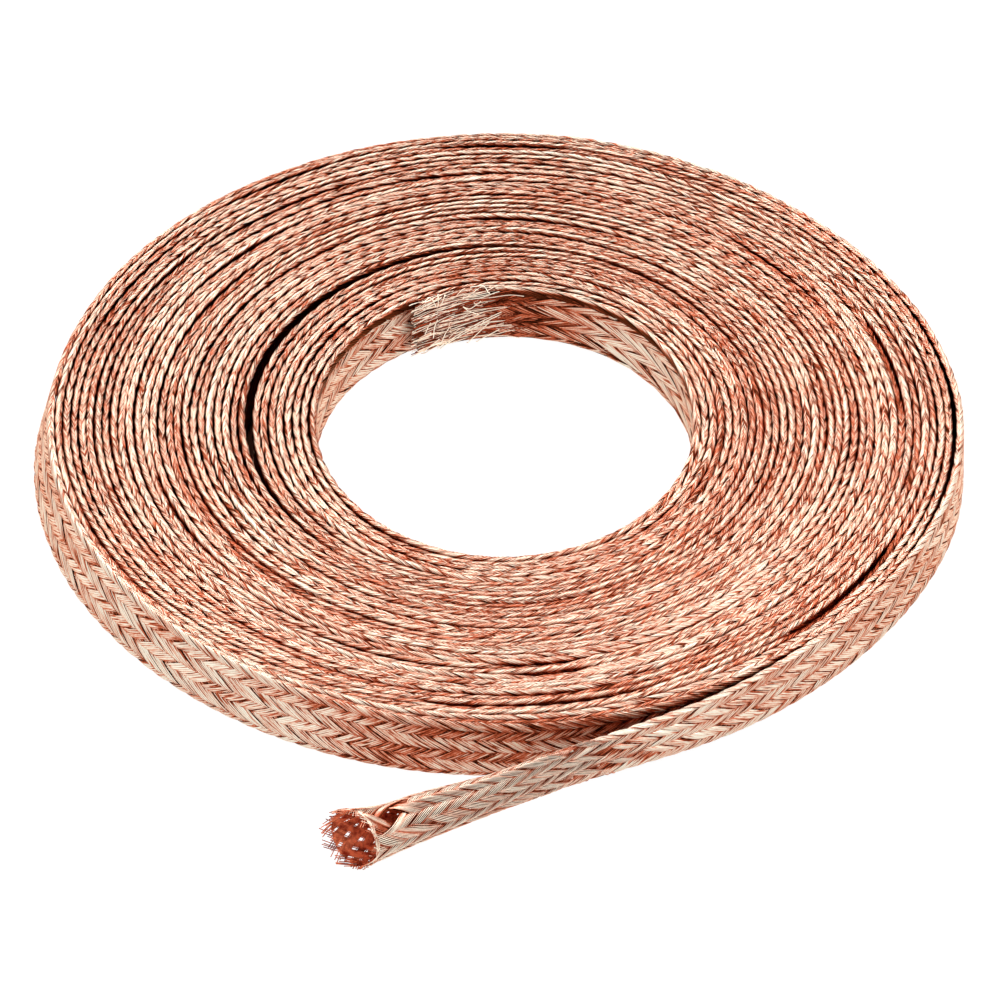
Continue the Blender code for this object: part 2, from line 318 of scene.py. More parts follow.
def slideOver(share):
    # how far the strands run ahead as they cross a fold
    near = (share + 0.25) % 0.5 - 0.25  # signed, to the nearer fold
    bend = np.arctan(near / braid["foldReach"]) - 4 * near * math.atan(0.25 / braid["foldReach"])
    return braid["foldSlide"] * 2 / math.pi * bend


def overUnder(share):
    # 1 where strands of one hand lie outside, -1 where those of the other hand do
    wave = braid["crossingSlope"] * np.sin(2 * math.pi * share * braid["strandsEachWay"] / 2)
    return np.clip(wave - braid["oneHandOver"], -1, 1)


def meshObject(name, points, faces, across, along, tone, inside=None):
    mesh = bpy.data.meshes.new(name)
    mesh.vertices.add(len(points))
    mesh.vertices.foreach_set("co", points.astype(np.float32).ravel())
    mesh.loops.add(faces.size)
    mesh.loops.foreach_set("vertex_index", faces.astype(np.int32).ravel())
    mesh.polygons.add(len(faces))
    mesh.polygons.foreach_set("loop_start", np.arange(0, faces.size, faces.shape[1], dtype=np.int32))
    mesh.update(calc_edges=True)
    mesh.validate()
    mesh.polygons.foreach_set("use_smooth", np.ones(len(mesh.polygons), bool))
    uv = mesh.uv_layers.new(name="strandUv")
    corners = np.empty(len(mesh.loops), np.int32)
    mesh.loops.foreach_get("vertex_index", corners)
    uv.data.foreach_set("uv", np.stack((across[corners], along[corners]), axis=-1).astype(np.float32).ravel())
    shade = mesh.attributes.new("tone", "FLOAT", "POINT")
    shade.data.foreach_set("value", tone.astype(np.float32))
    if inside is not None:
        inner = mesh.attributes.new("inside", "FLOAT", "POINT")
        inner.data.foreach_set("value", inside.astype(np.float32))
    made = bpy.data.objects.new(name, mesh)
    bpy.context.scene.collection.objects.link(made)
    return made


def gridFaces(count, rows, columns, flip):
    # quads of many separate grids of the same size
    corner = np.arange(rows * columns).reshape(rows, columns)
    quads = np.stack((corner[:-1, :-1], corner[:-1, 1:], corner[1:, 1:], corner[1:, :-1]), axis=-1).reshape(-1, 4)
    if flip:
        quads = quads[:, ::-1]
    return (quads[None] + (np.arange(count) * rows * columns)[:, None, None]).reshape(-1, 4)


def wiresShow(hand, strand):
    # how far past the roll a strand's single wires take over on the opened end
    return tail["wiresShowFrom"] + tail["wiresShowSpread"] * np.sin(tail["wiresShowPhase"] * strand + hand)


def strapKept(length, hand, strand):
    # 1 along the strap, 0 where the single wires have taken over
    place = wiresShow(hand, strand)
    return 1 - ease((length - rollLength - place) / tail["blend"] + 0.5)


# how pale the strands are drawn: about 0 is dark, 1 is palest
strandTone = {
    "middle": 0.75,
    "onFold": 0.07,
    "varies": 0.16,
    "variesLessOnFold": 0.03,
    "alongBraid": 0.10,
    "under": 0.40,
    "underLessOnFold": 0.05,
    "sunkTurnsShade": 0.32,
    "shadedLowerEdge": 0.10,
    "lowerEdgeUnder": 0.30,
    "oneHand": 0.04,
    # painted shade down into the gap between two turns: where it starts to darken, less where closed, over this
    # depth, by this much
    "gapFrom": 0.00042,
    "gapFromOpen": 0.00022,
    "gapFromBack": 0.00020,
    "gapOver": 0.0005,
    "gap": 0.9,
    "openTurns": 0.09,
    # on the walls
    "tailShadeOnWall": 0.27,
    "nearTail": 0.13,
    "nearTailFrom": 0.03,
    "innerSideShade": 0.75,
    "shadeUnderFray": 0.50,
    "underFrayLength": 0.016,
}


def fromFold(share):
    # how far round the girth the nearer fold is
    return np.abs((share + 0.25) % 0.5 - 0.25)


def strandPasses(hand, start, end, rows, random, columns=(-1, -0.55, 0, 0.55, 1)):
    # every passing of one hand's strands across these rows, each a crowned ribbon
    hop = 1 / braid["strandsEachWay"]
    onWall = len(rows) > len(upperRows)
    turning = lines["twist"] - hand * lines["drift"]
    first, last = np.interp([start, end], grid, turning) / hop
    reach = max(abs(rows[0]), abs(rows[-1])) if onWall else 0
    if start == 0 or onWall:
        first -= max(reach, 0.1) / hop
    last += reach / hop
    passes = np.arange(math.ceil(first), math.floor(last) + 1) * hop
    rows, columns = np.array(rows), np.array(columns)
    slide = slideOver(rows)[None] * onBraid("slide", np.interp(passes[:, None] + hand * rows[None], turning, grid))
    each = (len(passes), 1)
    sway = random.normal(0, braid["sway"], each) + rows[None] * random.normal(0, 2 * braid["sway"], each)
    centre = np.interp(passes[:, None] + hand * (rows[None] + slide) + sway * hop, turning, grid)
    angle = math.atan2(2 * roll["width"], braid["lay"])
    halfRun = braid["strandWidth"] / 2 * np.hypot(1, onBraid("lay", centre) / (2 * roll["width"]))
    halfRun = halfRun * (1 + braid["widthVaries"] * random.uniform(-1, 1, each))
    length = centre[:, :, None] + halfRun[:, :, None] * columns[None, None]
    past = length < 0
    length = np.clip(length, 0, grid[-1])
    share = np.broadcast_to(rows[None, :, None], length.shape)
    lift = hand * overUnder(share + slide[:, :, None] + onBraid("drift", length))
    strand = np.round(-hand * passes / hop) % braid["strandsEachWay"]
    kept = strapKept(length, hand, strand[:, None, None])
    height = braid["layerHeight"] * lift - braid["crown"] * columns[None, None] ** 2
    height = height - braid["sinksBelow"] * (1 - kept)
    points = placeOnBraid(length, share, height).reshape(-1, 3)

    varied = np.broadcast_to((random.uniform(-1, 1, len(passes)))[:, None, None], length.shape)
    onFold = 1 - ease((fromFold(share) - 0.02) / 0.02)
    tone = strandTone["middle"] + strandTone["onFold"] * onFold
    tone = tone + (strandTone["varies"] - strandTone["variesLessOnFold"] * onFold) * varied
    tone = tone + strandTone["alongBraid"] * onBraid("tone", length)
    # painted shade where a strand goes under the other hand, less on the folds
    tone = tone - (strandTone["under"] - strandTone["underLessOnFold"] * onFold) * np.clip(0.4 - lift, 0, 1)
    # painted shade on the turns that sit lower
    tone = tone - strandTone["sunkTurnsShade"] * onBraid("sunk", length) * (np.abs(share) < 0.12)
    # painted shade along each strand's lower edge, as if lit from above, more where it goes under
    shadedLowerEdge = -hand * columns[None, None] * np.sign(share) * (np.abs(share) > 0.04)
    darker = strandTone["shadedLowerEdge"] + strandTone["lowerEdgeUnder"] * np.clip(1 - lift, 0, 1)
    # painted light: one hand's strands drawn darker and the other's paler, for how the light falls on them
    tone = tone - darker * (shadedLowerEdge > 0.9) - strandTone["oneHand"] * hand
    if onWall:
        nearTail = ease((length - rollLength + strandTone["nearTailFrom"]) / strandTone["nearTailFrom"])
        # painted shadow of the free end on the wall behind it; the strap near the free end is drawn paler
        tone = tone - strandTone["tailShadeOnWall"] * onBraid("shade", length) + strandTone["nearTail"] * nearTail
        # painted shade: the last turn's inner side lies against its neighbour and is drawn darker
        tone = tone - strandTone["innerSideShade"] * ease((-share - 0.02) / 0.03) * (length > rollLength / 2)
        # painted shade on the wall under the frayed inner end
        fromFray = (length - strandTone["underFrayLength"]) / strandTone["underFrayLength"]
        tone = tone - strandTone["shadeUnderFray"] * (1 - ease(fromFray))
    else:
        # painted shade: the strands darken down into the gap between turns
        deep = fromFold(share) * 2 * roll["width"]
        spread, back = onBraid("spread", length), onBraid("back", length)
        fades = strandTone["gapFrom"] + strandTone["gapFromOpen"] * spread - strandTone["gapFromBack"] * back
        tone = tone - strandTone["gap"] * ease((deep - fades) / strandTone["gapOver"])
        tone = tone - strandTone["openTurns"] * spread
    across = 0.5 + columns[None, None] / 2 * (0.92 - 0.02 * onFold)
    run = (share * hand / math.sin(angle)) * 2 * roll["width"] + passes[:, None, None]
    faces = gridFaces(len(passes), len(rows), len(columns), False)
    faces = faces[~past.ravel()[faces].all(axis=1) & (kept.ravel()[faces] > 0).any(axis=1)]
    return points, faces, across.ravel(), run.ravel(), tone.ravel()


def joinParts(name, parts):
    points, faces, *rest = zip(*parts)
    before = np.cumsum([0] + [len(each) for each in points])
    faces = [each + count for each, count in zip(faces, before)]
    return meshObject(name, np.concatenate(points), np.concatenate(faces), *(np.concatenate(each) for each in rest))


def foldRows(edges):
    girth = 2 * roll["width"]
    return [edge / girth for edge in edges]


upperRows = foldRows((-0.00175, -0.0012, -0.0008, -0.0005, -0.00025, 0, 0.00025, 0.0005, 0.0008, 0.0012, 0.00175))
lowerRows = [0.5 + row for row in foldRows((-0.0011, -0.00045, 0, 0.00045, 0.0011))]


def wallRows(first, last):
    # rows round the girth: close together over the two folds, wider down the flat walls
    rows = np.arange(-0.5, 0.5001, 1 / 48)
    near = np.abs(np.abs(rows) - 0.25) > 0.19
    extra = rows[near][:-1] + 1 / 96
    rows = np.sort(np.concatenate((rows, extra)))
    return rows[(rows >= first - 1e-6) & (rows <= last + 1e-6)]


def turnEnd(turns):
    # length along the braid after this many turns
    wind = np.arctan2(lines["y"] - roll["centre"][1], lines["x"] - roll["centre"][0])
    wound = -np.unwrap(wind)
    wound -= np.interp(0, grid, wound)
    return np.interp(np.asarray(turns) * 2 * math.pi, wound, grid)


def weaveRoll():
    random = np.random.default_rng(braid["seed"] + 1)
    made = []
    cuts = [0] + [turnEnd(turns) for turns in (12, 20, 27, 32.35)]  # the last cut leaves the whole last turn
    names = ["innerTurns", "middleTurns", "widerTurns", "outerTurns"]
    for name, start, end in zip(names, cuts, cuts[1:]):
        parts = [strandPasses(hand, start, end, upperRows, random) for hand in (1, -1)]
        made.append(joinParts(name, parts))
    parts = [strandPasses(hand, 0, cuts[-1], lowerRows, random, (-1, 0, 1)) for hand in (1, -1)]
    made.append(joinParts("undersideTurns", parts))
    parts = [strandPasses(hand, cuts[-1], rollLength, wallRows(-0.5, 0.5), random) for hand in (1, -1)]
    made.append(joinParts("lastTurn", parts))
    parts = [strandPasses(hand, 0, turnEnd(1.1), wallRows(-0.5, -0.08), random) for hand in (1, -1)]
    made.append(joinParts("holeWall", parts))
    return made


def hiddenWalls():
    # the strap's own walls between its two folds, seen only down the gaps between turns
    length = np.arange(0.0003, rollLength, 0.004)
    share = np.array((0, 0.04, 0.06, 0.44, 0.5, -0.44, -0.06, -0.04))
    spot = np.broadcast_to(length[:, None], (len(length), len(share)))
    points = placeOnBraid(spot, np.broadcast_to(share, spot.shape), np.full(spot.shape, -0.00022))
    ring = np.arange(len(share))
    after = np.roll(ring, -1)
    quads = np.stack((ring, after, after + len(share), ring + len(share)), axis=-1)[:, ::-1]
    faces = (quads[None] + (np.arange(len(length) - 1) * len(share))[:, None, None]).reshape(-1, 4)
    flat = np.zeros(spot.size)
    return meshObject("strapWalls", points.reshape(-1, 3), faces, flat, flat, np.full(spot.size, 0.3))


# wires

def wireTubes(strands, sideShade, sides):
    # each wire: places along the braid, shares, heights, radius and tone
    # faces that look outwards keep the tone, and the others lose some: painted shade on the wires' sides and
    # undersides
    points, faces, across, along, tone, inside, count = [], [], [], [], [], [], 0
    probe, tiny = 0.0001, 1e-12
    for length, share, height, radius, shade in strands:
        path = placeOnBraid(length, share, height)
        outward = placeOnBraid(length, share, height + probe) - path
        forward = np.gradient(path, axis=0)
        forward /= np.linalg.norm(forward, axis=1)[:, None] + tiny
        sideways = np.cross(forward, outward)
        sideways /= np.linalg.norm(sideways, axis=1)[:, None] + tiny
        outward = np.cross(sideways, forward)
        radius = np.zeros(len(path)) + radius
        path[:, 2] = np.maximum(path[:, 2], radius)
        turn = np.arange(sides) * 2 * math.pi / sides
        ring = path[:, None] + radius[:, None, None] * (
            np.cos(turn)[None, :, None] * outward[:, None] + np.sin(turn)[None, :, None] * sideways[:, None])
        corner = np.arange(len(path) * sides).reshape(len(path), sides)
        after = np.roll(corner, -1, axis=1)
        quads = np.stack((corner[:-1], after[:-1], after[1:], corner[1:]), axis=-1).reshape(-1, 4)
        points.append(ring.reshape(-1, 3))
        faces.append(quads + count)
        across.append(np.tile(np.linspace(0, 1, sides), len(path)))
        along.append(np.repeat(np.arange(len(path)) * 0.1, sides))
        shades = np.zeros((len(path), sides)) + np.reshape(shade, (-1, 1))
        shades = shades - sideShade * (1 - np.cos(turn))[None]
        tone.append(shades.ravel())
        inside.append(np.tile(np.cos(turn) < -0.1, len(path)))
        count += len(path) * sides
    return tuple(np.concatenate(each) for each in (points, faces, across, along, tone, inside))


# how the single wires run on the opened end; lengths in metres
tailWires = {
    "steps": 46,
    "stray": 0.10,
    "liftTimes": 1.2,
    "outerWiresLower": 0.00005,
    "uneven": 0.00002,
    "endsRise": 0.00010,
    "endsWander": 0.0022,
    "wander": (0.0004, 0.006),
    # tone: middle, between strands, between wires, painted shade where a strand goes under, painted shade at its
    # edge
    "tone": (1.02, 0.10, 0.12, 0.45, 0.28),
    "swell": (0.7, 1.1),
    # the dark sheet that shows between a strand's wires, painted shade: steps, depth, share of the strand's width
    "bodySteps": 40,
    "bodyDepth": 0.00008,
    "bodyWidth": 0.92,
    "bodyThins": (0.35, 0.010, 0.007),
}


def strandLine(hand, strand, length, girth, offset, start, end, stray):
    # a strand's path round the girth; the strands stand apart round one opening near the mouth
    hop = 1 / braid["strandsEachWay"]
    share = strand * hop + hand * onBraid("twist", length) - onBraid("drift", length)
    share = share + (offset + np.interp(length, (start, end), stray)) / girth
    partPlace, partShare, partLength, partWidth = tail["parting"]
    away = (share - partShare + 0.5) % 1 - 0.5
    atPart = np.interp(rollLength + partPlace, length, away) * girth
    apart = math.exp(-(atPart / partWidth) ** 2 / 2) * partWidth * (1 if atPart > 0 else -1)
    return share + apart / girth * np.exp(-((length - rollLength - partPlace) / partLength) ** 2)


def slantedCut(share):
    # how far the rim is cut back on the near side of the mouth
    return tail["slant"] * 0.5 * (1 + np.cos(2 * math.pi * (share - tail["slantShare"])))


def weaveTail():
    random = np.random.default_rng(braid["seed"] + 2)
    wires, bodies = [], []
    girth = 2 * (roll["width"] - roll["thickness"]) + math.pi * roll["thickness"]
    acrossGirth = math.hypot(1, girth / braid["lay"])
    mouth = rollLength + tail["length"]
    count, spacing = tail["wiresPerStrand"], tail["wireSpacing"]
    middleTone, strandVaries, wireVaries, wireUnderShade, wireEdgeShade = tailWires["tone"]
    wander, wanderEvery = tailWires["wander"]
    thins, thinsFrom, thinsOver = tailWires["bodyThins"]
    for hand in (1, -1):
        for strand in range(braid["strandsEachWay"]):
            strandShade = random.uniform(-1, 1)
            stray = random.normal(0, tailWires["stray"], 2) * spacing * count
            start = rollLength + wiresShow(hand, strand)
            for wire in range(count):
                offset = (wire - (count - 1) / 2) * spacing * acrossGirth
                end = mouth + random.uniform(-1, 1) * tail["fray"]
                length = np.linspace(start - tail["blend"], end, tailWires["steps"])
                share = strandLine(hand, strand, length, girth, offset, start, end, stray)
                lift = hand * overUnder(share + onBraid("drift", length))
                loose = ease((length - mouth + tail["looseLength"]) / tail["looseLength"])
                middle = abs(2 * wire / (count - 1) - 1)
                height = braid["layerHeight"] * lift * tailWires["liftTimes"]
                height = height - tailWires["outerWiresLower"] * middle ** 2
                height = height + tailWires["uneven"] * random.uniform(-1, 1)
                height = height + loose * random.normal(0, tailWires["endsRise"])
                height = height - braid["sinksBelow"] * strapKept(length, hand, strand)
                share = share + loose * random.normal(0, tailWires["endsWander"])
                share = share + wander * smoothNoise(random, length, wanderEvery)
                # painted shade on wires that go under and on each strand's outer wires
                sunk = wireUnderShade * np.clip(0.3 - lift, 0, 1) + wireEdgeShade * middle ** 4
                shade = middleTone + strandVaries * strandShade + wireVaries * random.uniform(-1, 1) - sunk
                swell = np.clip(onBraid("girth", length) / girth, *tailWires["swell"])
                wires.append((length - loose * slantedCut(share), share, height, tail["wireRadius"] * swell, shade))
            # what shows between the strand's wires: a sheet drawn dark, painted shade
            length = np.linspace(start - tail["blend"], mouth - tail["fray"], tailWires["bodySteps"])
            middleShare = strandLine(hand, strand, length, girth, 0, start, end, stray)
            halfWidth = count / 2 * spacing * acrossGirth / girth * tailWires["bodyWidth"]
            thinned = 1 - random.uniform(0, thins) * ease((length - mouth + thinsFrom) / thinsOver)
            share = middleShare[:, None] + (halfWidth * thinned)[:, None] * np.array((-1, 0, 1))[None]
            lift = hand * overUnder(share + onBraid("drift", length)[:, None])
            height = braid["layerHeight"] * lift * tailWires["liftTimes"] - tailWires["bodyDepth"]
            height = height - braid["sinksBelow"] * strapKept(length, hand, strand)[:, None]
            loose = ease((length - mouth + tail["looseLength"]) / tail["looseLength"])[:, None]
            spot = length[:, None] - loose * slantedCut(share)
            flat = np.zeros(spot.size)
            bodies.append((
                placeOnBraid(spot, share, height).reshape(-1, 3), gridFaces(1, len(length), 3, True),
                flat, flat, np.full(spot.size, look["shadeBetweenWires"]), flat))
    bodies.append(wireTubes(wires, look["wireShade"], 6))
    return joinParts("freeEnd", bodies)


# loose wires at the braid's inner end
fray = {
    "startsAt": -0.0016,
    "lyingWires": 280,
    "curledWires": 12,
    "wireRadius": 0.000068,
    # wires that lie along the strap: ranges of place and length
    "lyingDown": (0.0001, 0.0091),
    "lyingStart": (-0.0003, 0.0110),
    "lyingLength": (0.004, 0.0115),
    "lyingRise": (0.08, 0.08),
    "lyingWander": (0.0003, 0.003),
    "lyingLift": (0.00012, 0.00030, 0.00025),
    # they come down to the weave: by how much, from where, over what length
    "settles": (0.7, 0.012, 0.006),
    "paleTone": (0.85, 1.20),
    "darkTone": (0.0, 0.32),
    # short curls: turn in radians, size, place along and down the strap
    "curlTurn": (1.0, 2.4),
    "curlSize": (0.0004, 0.0014),
    "curlPlace": (0.000, 0.009),
    "curlDown": (0.0008, 0.0088),
    "curlLift": (0.0002, 0.0006),
    "curlTone": (0.8, 1.1),
    # over the upper fold the wires lie close, so that none stands above the braid
    "heightOnFold": 0.3,
    "foldReach": 0.0008,
    # wires that stand out in the photo: millimetres along the strap and up its wall
    "shownWires": (
        ((2.1, 0.3), (7.5, 3.0), (13.0, 5.9)),
        ((2.6, 0.2), (8.0, 2.8), (12.6, 5.3)),
        ((7.2, 0.1), (9.0, 1.9), (10.8, 3.9)),
        ((8.6, 0.2), (10.4, 1.2), (12.4, 2.4)),
        ((1.3, 10.3), (2.0, 9.6), (2.3, 8.6)),
        ((3.2, 10.2), (2.7, 9.5), (2.5, 8.5)),
        ((4.1, 9.8), (3.4, 9.4), (2.9, 8.6)),
        ((7.9, 10.2), (9.4, 10.4), (10.9, 9.2)),
        ((6.6, 7.4), (7.7, 6.6), (9.6, 8.1)),
        ((6.6, 7.4), (7.6, 6.3), (9.2, 5.4)),
        ((2.6, 6.2), (2.0, 5.0), (1.8, 2.7)),
        ((0.4, 4.0), (0.9, 5.4), (1.4, 6.1)),
        ((0.0, 0.6), (1.4, 1.6), (3.0, 2.4)),
        ((3.2, 1.4), (3.8, 3.1), (4.6, 4.2)),
    ),
}


def frayInnerEnd():
    # loose wires at the cut end inside the hole: most lie along the strap, a few stand off it
    random = np.random.default_rng(braid["seed"] + 3)
    wires = []
    girth = 2 * roll["width"]
    arch = np.sin(np.linspace(0, math.pi, 18))
    wander, wanderEvery = fray["lyingWander"]
    least, more, bowed = fray["lyingLift"]
    settles, settlesFrom, settlesOver = fray["settles"]
    for wire in range(fray["lyingWires"]):
        down = random.uniform(*fray["lyingDown"])
        start = fray["startsAt"] + random.uniform(*fray["lyingStart"]) * random.uniform(0, 1)
        length = np.linspace(start, start + random.uniform(*fray["lyingLength"]), len(arch))
        rise = random.normal(*fray["lyingRise"])
        down = down + wander * smoothNoise(random, length, wanderEvery) - (length - length.mean()) * rise
        lift = least + random.uniform(0, more) + random.uniform(0, bowed) * arch
        lift = lift * (1 - settles * ease((length - settlesFrom) / settlesOver))
        shade = random.uniform(*(fray["paleTone"] if random.uniform() < 0.5 else fray["darkTone"]))
        wires.append((length, -np.clip(down, 0, 0.0099) / girth, lift, fray["wireRadius"], shade))
    for wire in range(fray["curledWires"]):
        turn = np.linspace(0, random.uniform(*fray["curlTurn"]), 14)
        size, heading = random.uniform(*fray["curlSize"]), random.uniform(0, 2 * math.pi)
        across = size * (np.cos(turn + heading) - math.cos(heading))
        ahead = size * (np.sin(turn + heading) - math.sin(heading))
        length = random.uniform(*fray["curlPlace"]) + ahead * 1.6
        down = np.clip(random.uniform(*fray["curlDown"]) + across, 0.0, 0.0098)
        lift = 0.0003 + random.uniform(*fray["curlLift"]) * np.sin(turn / turn[-1] * 2.2) ** 2
        wires.append((length, -down / girth, lift, fray["wireRadius"], random.uniform(*fray["curlTone"])))
    for knots in fray["shownWires"]:
        knots = np.array(knots) / 1000
        steps = np.linspace(0, len(knots) - 1, 16)
        length, up = (smoothedThrough(steps, range(len(knots)), each) for each in knots.T)
        up = np.minimum(up, roll["width"])
        lift = 0.00062 + 0.0001 * np.sin(steps)
        wires.append((length, (up - roll["width"]) / girth, lift, fray["wireRadius"] * 1.15, 1.1))
    settled = []
    for length, share, height, radius, shade in wires:
        kept = fray["heightOnFold"] + (1 - fray["heightOnFold"]) * ease(-share * girth / fray["foldReach"])
        settled.append((length, share, height * kept, radius, shade))
    return meshObject("frayedEnd", *wireTubes(settled, look["frayShade"], 5)[:5])


# the finish of the copper

look = {
    "paleCopper": (1.0, 0.92, 0.76),
    "midCopper": (0.87, 0.58, 0.43),
    "redCopper": (0.66, 0.18, 0.09),
    "deepCopper": (0.42, 0.070, 0.026),
    # the ramp's darkest stop: painted shade in gaps and grooves, and the darkest streaks
    "paintedShadeCopper": (0.075, 0.014, 0.005),
    "edgeTint": (1.0, 0.66, 0.52),
    "roughness": 0.30,
    "wireRelief": 0.00005,
    "wireGrooveShade": 0.34,
    "wiresDrawn": 5,
    "wireShade": 0.52,
    "frayShade": 0.22,
    "frayGlow": 0.22,
    "shadeBetweenWires": -0.05,
    # the tube's inside: painted shade, painted bounced light, and how metallic it is
    "insideShade": (0.32, 0.035, 0.014),
    "insideLight": (1.0, 0.27, 0.12),
    "insideMetallic": 0.55,
    "streak": 1.30,
    "speckle": 0.36,
    "slitShade": 0.60,
    "strandEdgeShade": 0.62,
    "edgeStarts": 0.72,
    # where the ramp from hidden to pale copper has its deep, red and middle stops
    "rampStops": (0.22, 0.44, 0.64),
    # noise on the strands, stretched this much across and along them
    "streakStretch": (1.2, 420),
    "edgeStretch": (0.9, 420),
    "slitStretch": (6.0, 230),
    "speckleScale": 3600,
    # noise on single wires
    "wireStreak": 0.5,
    "wireStreakScale": 900,
    "roughnessRange": (-0.08, 0.12),
    "brushed": 0.7,
}


# materials

def joinNode(tree, kind, given, result=0):
    # a node whose sockets get numbers or other nodes' outputs; settings are given by their own names, first
    node = tree.nodes.new("ShaderNode" + kind)
    for key, value in given.items():
        if isinstance(key, str) and hasattr(node, key):
            setattr(node, key, value)
        elif isinstance(value, bpy.types.NodeSocket):
            tree.links.new(value, node.inputs[key])
        else:
            node.inputs[key].default_value = value
    return node.outputs[result]


def mathNode(tree, operation, *values):
    return joinNode(tree, "Math", {"operation": operation, **dict(enumerate(values))})


def streakGroup():
    # the copper's grade and roughness from its tone and a noise: every copper finish uses it
    tree = bpy.data.node_groups.new("copperStreaks", "ShaderNodeTree")
    for name in ("Tone", "Noise", "Amount"):
        tree.interface.new_socket(name=name, in_out="INPUT", socket_type="NodeSocketFloat")
    for name in ("Grade", "Roughness"):
        tree.interface.new_socket(name=name, in_out="OUTPUT", socket_type="NodeSocketFloat")
    given = tree.nodes.new("NodeGroupInput").outputs
    result = tree.nodes.new("NodeGroupOutput").inputs
    spread = mathNode(tree, "MULTIPLY_ADD", given["Noise"], given["Amount"], given["Tone"])
    half = mathNode(tree, "MULTIPLY", given["Amount"], 0.5)
    tree.links.new(mathNode(tree, "SUBTRACT", spread, half), result["Grade"])
    smoother, rougher = (look["roughness"] + change for change in look["roughnessRange"])
    rough = joinNode(tree, "MapRange", {"Value": given["Noise"], "To Min": smoother, "To Max": rougher})
    tree.links.new(rough, result["Roughness"])
    return tree


def strandPattern(tree, uv, place, grade):
    # painted shade in the grooves between wires, down the strands' edges and in slits, and specks on the strands:
    # the grade that they leave, and the wires' ridges
    across = joinNode(tree, "SeparateXYZ", {"Vector": uv}, "X")

    def stretched(stretch, shift=(0, 0, 0)):
        return joinNode(tree, "Mapping", {"Vector": uv, "Scale": (*stretch, 1), "Location": shift})

    wave = mathNode(tree, "SINE", mathNode(tree, "MULTIPLY", across, math.pi * look["wiresDrawn"]))
    ridge = mathNode(tree, "ABSOLUTE", wave)
    # painted shade in the grooves between the wires
    grooveShaded = mathNode(tree, "MULTIPLY_ADD", ridge, look["wireGrooveShade"], grade)
    balanced = mathNode(tree, "SUBTRACT", grooveShaded, look["wireGrooveShade"] * 0.64)  # the ridges' middle height
    # painted shade: a dark line down both edges of each strand, which comes and goes
    fromMiddle = mathNode(tree, "ABSOLUTE", mathNode(tree, "MULTIPLY_ADD", across, 2.0, -1.0))
    edge = joinNode(tree, "MapRange", {
        "interpolation_type": "SMOOTHSTEP", "Value": fromMiddle,
        "From Min": look["edgeStarts"], "To Max": look["strandEdgeShade"]})
    broken = joinNode(tree, "TexNoise", {"Vector": stretched(look["edgeStretch"]), "Scale": 1.0})
    shown = joinNode(tree, "MapRange", {
        "Value": broken, "From Min": 0.38, "From Max": 0.62, "To Min": 0.15, "To Max": 1.35})
    line = mathNode(tree, "MULTIPLY", edge, shown)
    # painted shade: short dark slits between the wires
    parted = joinNode(tree, "TexNoise", {
        "Vector": stretched(look["slitStretch"], (3.7, 1.9, 0)), "Scale": 1.0, "Detail": 1})
    slitShade = joinNode(tree, "MapRange", {
        "Value": parted, "From Min": 0.45, "From Max": 0.34, "To Max": look["slitShade"]})
    dots = joinNode(tree, "TexNoise", {"Vector": place, "Scale": look["speckleScale"], "Detail": 2})
    dotted = mathNode(tree, "MULTIPLY_ADD", dots, look["speckle"], -0.5 * look["speckle"])
    speckled = mathNode(tree, "ADD", balanced, dotted)
    return mathNode(tree, "SUBTRACT", speckled, mathNode(tree, "ADD", line, slitShade)), ridge


def paintInsideLight(tree, shader, noise, colour):
    # painted light: the tube is drawn a deep orange red inside, standing in for the light that bounces round in the
    # copper, in patches of painted shade
    inner = joinNode(tree, "Attribute", {"attribute_name": "inside"}, "Fac")
    within = mathNode(tree, "MAXIMUM", inner, joinNode(tree, "NewGeometry", {}, "Backfacing"))
    patches = joinNode(tree, "MapRange", {"Value": noise, "From Min": 0.36, "From Max": 0.60})
    deep, bright = (*look["insideShade"], 1), (*look["insideLight"], 1)
    glow = joinNode(tree, "Mix", {"data_type": "RGBA", "Factor": patches, "A": deep, "B": bright}, "Result")
    either = joinNode(tree, "Mix", {"data_type": "RGBA", "Factor": within, "A": colour, "B": glow}, "Result")
    tree.links.new(either, shader.inputs["Base Color"])
    metallic = joinNode(tree, "MapRange", {"Value": within, "To Min": 1.0, "To Max": look["insideMetallic"]})
    tree.links.new(metallic, shader.inputs["Metallic"])


